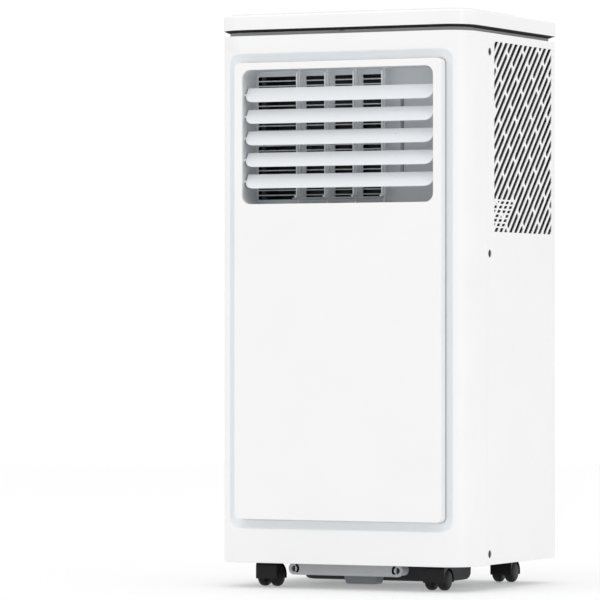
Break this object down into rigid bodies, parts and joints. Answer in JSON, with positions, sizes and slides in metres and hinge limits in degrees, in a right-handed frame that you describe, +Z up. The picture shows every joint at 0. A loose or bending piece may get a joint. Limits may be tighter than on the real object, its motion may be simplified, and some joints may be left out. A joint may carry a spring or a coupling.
{
  "type": "portable air conditioner",
  "caption": "Upright white room air conditioner on castors, with front louvres, slotted side grilles, rear exhaust collar and top controls.",
  "frame": {"origin": "on the floor under the centre of the cabinet's plan", "axes": "+Z up; the outlet louvres face -Y; +X is the right side seen from the front"},
  "size_m": [0.3216, 0.281, 0.6697],
  "materials": {
    "white_abs": "white satin ABS",
    "duct_abs": "pale grey moulded ABS",
    "charcoal_abs": "charcoal moulded nylon",
    "black_acrylic": "gloss black window",
    "grey_pp": "mid grey polypropylene",
    "dark_tray": "dark grey moulding",
    "fin_aluminium": "finned coil",
    "zinc_steel": "zinc plated",
    "copper_tube": "drawn copper tube",
    "castor_rubber": "black moulded"
  },
  "bodies": {
    "cabinet": {"front_shell": "white_abs", "right_side_panel": "white_abs", "left_side_panel": "white_abs", "right_filter_frame": "grey_pp", "left_filter_frame": "grey_pp", "rear_panel": "white_abs", "exhaust_collar": "white_abs", "drain_port": "white_abs", "cord_gland": "charcoal_abs", "outlet_panel": "white_abs", "outlet_duct": "duct_abs", "neck_ring": "charcoal_abs", "top_cover": "white_abs", "control_console": "white_abs", "display_window": "black_acrylic", "control_board": "dark_tray", "receiver_lens": "black_acrylic", "base_pan": "grey_pp", "condensate_tray": "dark_tray", "bottom_drain": "grey_pp", "drip_deck": "duct_abs", "evaporator": "fin_aluminium", "condenser": "fin_aluminium", "upper_fan_case": "dark_tray", "upper_fan_motor": "zinc_steel", "lower_fan_case": "dark_tray", "lower_fan_motor": "zinc_steel", "compressor": "dark_tray", "accumulator": "dark_tray", "discharge_pipe": "copper_tube", "power_box": "zinc_steel"},
    "louvre_1": {"louvre_1": "white_abs"},
    "louvre_2": {"louvre_2": "white_abs"},
    "louvre_3": {"louvre_3": "white_abs"},
    "louvre_4": {"louvre_4": "white_abs"},
    "louvre_5": {"louvre_5": "white_abs"},
    "louvre_link": {"louvre_link": "grey_pp"},
    "guide_vane_1": {"guide_vane_1": "duct_abs"},
    "guide_vane_2": {"guide_vane_2": "duct_abs"},
    "guide_vane_3": {"guide_vane_3": "duct_abs"},
    "guide_vane_4": {"guide_vane_4": "duct_abs"},
    "vane_link": {"vane_link": "grey_pp"},
    "upper_fan_wheel": {"upper_fan_wheel": "charcoal_abs"},
    "lower_fan_wheel": {"lower_fan_wheel": "charcoal_abs"},
    "castor_hood_front_left": {"castor_hood_front_left": "charcoal_abs"},
    "castor_wheels_front_left": {"castor_wheels_front_left": "castor_rubber"},
    "castor_hood_front_right": {"castor_hood_front_right": "charcoal_abs"},
    "castor_wheels_front_right": {"castor_wheels_front_right": "castor_rubber"},
    "castor_hood_rear_left": {"castor_hood_rear_left": "charcoal_abs"},
    "castor_wheels_rear_left": {"castor_wheels_rear_left": "castor_rubber"},
    "castor_hood_rear_right": {"castor_hood_rear_right": "charcoal_abs"},
    "castor_wheels_rear_right": {"castor_wheels_rear_right": "castor_rubber"},
    "button_1": {"button_1": "white_abs"},
    "button_2": {"button_2": "white_abs"},
    "button_3": {"button_3": "white_abs"},
    "button_4": {"button_4": "white_abs"},
    "button_5": {"button_5": "white_abs"},
    "button_6": {"button_6": "white_abs"},
    "filter_cassette": {"filter_cassette": "white_abs"},
    "drain_plug": {"drain_plug": "castor_rubber"}
  },
  "joints": [
    {"name": "louvre_1_tilt", "type": "hinge", "parent": "cabinet", "child": "louvre_1", "pos_m": [0, -0.1325, 0.5733], "axis": [1, 0, 0], "range_deg": [-45, 30]},
    {"name": "louvre_2_tilt", "type": "hinge", "parent": "cabinet", "child": "louvre_2", "pos_m": [0, -0.1325, 0.5482], "axis": [1, 0, 0], "range_deg": [-45, 30]},
    {"name": "louvre_3_tilt", "type": "hinge", "parent": "cabinet", "child": "louvre_3", "pos_m": [0, -0.1325, 0.5231], "axis": [1, 0, 0], "range_deg": [-45, 30]},
    {"name": "louvre_4_tilt", "type": "hinge", "parent": "cabinet", "child": "louvre_4", "pos_m": [0, -0.1325, 0.498], "axis": [1, 0, 0], "range_deg": [-45, 30]},
    {"name": "louvre_5_tilt", "type": "hinge", "parent": "cabinet", "child": "louvre_5", "pos_m": [0, -0.1325, 0.4729], "axis": [1, 0, 0], "range_deg": [-45, 30]},
    {"name": "louvre_link_pivot", "type": "hinge", "parent": "louvre_1", "child": "louvre_link", "pos_m": [0.072, -0.11816, 0.57769], "axis": [1, 0, 0], "range_deg": [-30, 45]},
    {"name": "guide_vane_1_swing", "type": "hinge", "parent": "cabinet", "child": "guide_vane_1", "pos_m": [-0.0626, -0.1097, 0.5243], "axis": [0, 0, 1], "range_deg": [-35, 35]},
    {"name": "guide_vane_2_swing", "type": "hinge", "parent": "cabinet", "child": "guide_vane_2", "pos_m": [-0.0263, -0.1097, 0.5243], "axis": [0, 0, 1], "range_deg": [-35, 35]},
    {"name": "guide_vane_3_swing", "type": "hinge", "parent": "cabinet", "child": "guide_vane_3", "pos_m": [0.01, -0.1097, 0.5243], "axis": [0, 0, 1], "range_deg": [-35, 35]},
    {"name": "guide_vane_4_swing", "type": "hinge", "parent": "cabinet", "child": "guide_vane_4", "pos_m": [0.0463, -0.1097, 0.5243], "axis": [0, 0, 1], "range_deg": [-35, 35]},
    {"name": "vane_link_pivot", "type": "hinge", "parent": "guide_vane_1", "child": "vane_link", "pos_m": [-0.0626, -0.1185, 0.4523], "axis": [0, 0, 1], "range_deg": [-35, 35]},
    {"name": "upper_fan_spin", "type": "hinge", "parent": "cabinet", "child": "upper_fan_wheel", "pos_m": [0, 0, 0.4791], "axis": [0, 1, 0], "continuous": true},
    {"name": "lower_fan_spin", "type": "hinge", "parent": "cabinet", "child": "lower_fan_wheel", "pos_m": [-0.05, 0, 0.164], "axis": [0, 1, 0], "continuous": true},
    {"name": "castor_front_left_swivel", "type": "hinge", "parent": "cabinet", "child": "castor_hood_front_left", "pos_m": [-0.107, -0.098, 0.028], "axis": [0, 0, 1], "continuous": true},
    {"name": "castor_front_left_roll", "type": "hinge", "parent": "castor_hood_front_left", "child": "castor_wheels_front_left", "pos_m": [-0.107, -0.092, 0.0125], "axis": [1, 0, 0], "continuous": true},
    {"name": "castor_front_right_swivel", "type": "hinge", "parent": "cabinet", "child": "castor_hood_front_right", "pos_m": [0.107, -0.098, 0.028], "axis": [0, 0, 1], "continuous": true},
    {"name": "castor_front_right_roll", "type": "hinge", "parent": "castor_hood_front_right", "child": "castor_wheels_front_right", "pos_m": [0.107, -0.092, 0.0125], "axis": [1, 0, 0], "continuous": true},
    {"name": "castor_rear_left_swivel", "type": "hinge", "parent": "cabinet", "child": "castor_hood_rear_left", "pos_m": [-0.107, 0.098, 0.028], "axis": [0, 0, 1], "continuous": true},
    {"name": "castor_rear_left_roll", "type": "hinge", "parent": "castor_hood_rear_left", "child": "castor_wheels_rear_left", "pos_m": [-0.107, 0.104, 0.0125], "axis": [1, 0, 0], "continuous": true},
    {"name": "castor_rear_right_swivel", "type": "hinge", "parent": "cabinet", "child": "castor_hood_rear_right", "pos_m": [0.107, 0.098, 0.028], "axis": [0, 0, 1], "continuous": true},
    {"name": "castor_rear_right_roll", "type": "hinge", "parent": "castor_hood_rear_right", "child": "castor_wheels_rear_right", "pos_m": [0.107, 0.104, 0.0125], "axis": [1, 0, 0], "continuous": true},
    {"name": "button_1_press", "type": "slide", "parent": "cabinet", "child": "button_1", "axis": [0, 0, -1], "range_m": [0, 0.0008], "stiffness_N_per_m": 600},
    {"name": "button_2_press", "type": "slide", "parent": "cabinet", "child": "button_2", "axis": [0, 0, -1], "range_m": [0, 0.0008], "stiffness_N_per_m": 600},
    {"name": "button_3_press", "type": "slide", "parent": "cabinet", "child": "button_3", "axis": [0, 0, -1], "range_m": [0, 0.0008], "stiffness_N_per_m": 600},
    {"name": "button_4_press", "type": "slide", "parent": "cabinet", "child": "button_4", "axis": [0, 0, -1], "range_m": [0, 0.0008], "stiffness_N_per_m": 600},
    {"name": "button_5_press", "type": "slide", "parent": "cabinet", "child": "button_5", "axis": [0, 0, -1], "range_m": [0, 0.0008], "stiffness_N_per_m": 600},
    {"name": "button_6_press", "type": "slide", "parent": "cabinet", "child": "button_6", "axis": [0, 0, -1], "range_m": [0, 0.0008], "stiffness_N_per_m": 600},
    {"name": "filter_cassette_pull", "type": "slide", "parent": "cabinet", "child": "filter_cassette", "axis": [0, 1, 0], "range_m": [0, 0.12]},
    {"name": "drain_plug_pull", "type": "slide", "parent": "cabinet", "child": "drain_plug", "axis": [0, 1, 0], "range_m": [0, 0.03]}
  ],
  "couplings": [
    {"joint": "louvre_2_tilt", "follows": "louvre_1_tilt", "ratio": 1},
    {"joint": "louvre_3_tilt", "follows": "louvre_1_tilt", "ratio": 1},
    {"joint": "louvre_4_tilt", "follows": "louvre_1_tilt", "ratio": 1},
    {"joint": "louvre_5_tilt", "follows": "louvre_1_tilt", "ratio": 1},
    {"joint": "louvre_link_pivot", "follows": "louvre_1_tilt", "ratio": -1},
    {"joint": "guide_vane_2_swing", "follows": "guide_vane_1_swing", "ratio": 1},
    {"joint": "guide_vane_3_swing", "follows": "guide_vane_1_swing", "ratio": 1},
    {"joint": "guide_vane_4_swing", "follows": "guide_vane_1_swing", "ratio": 1},
    {"joint": "vane_link_pivot", "follows": "guide_vane_1_swing", "ratio": -1}
  ]
}
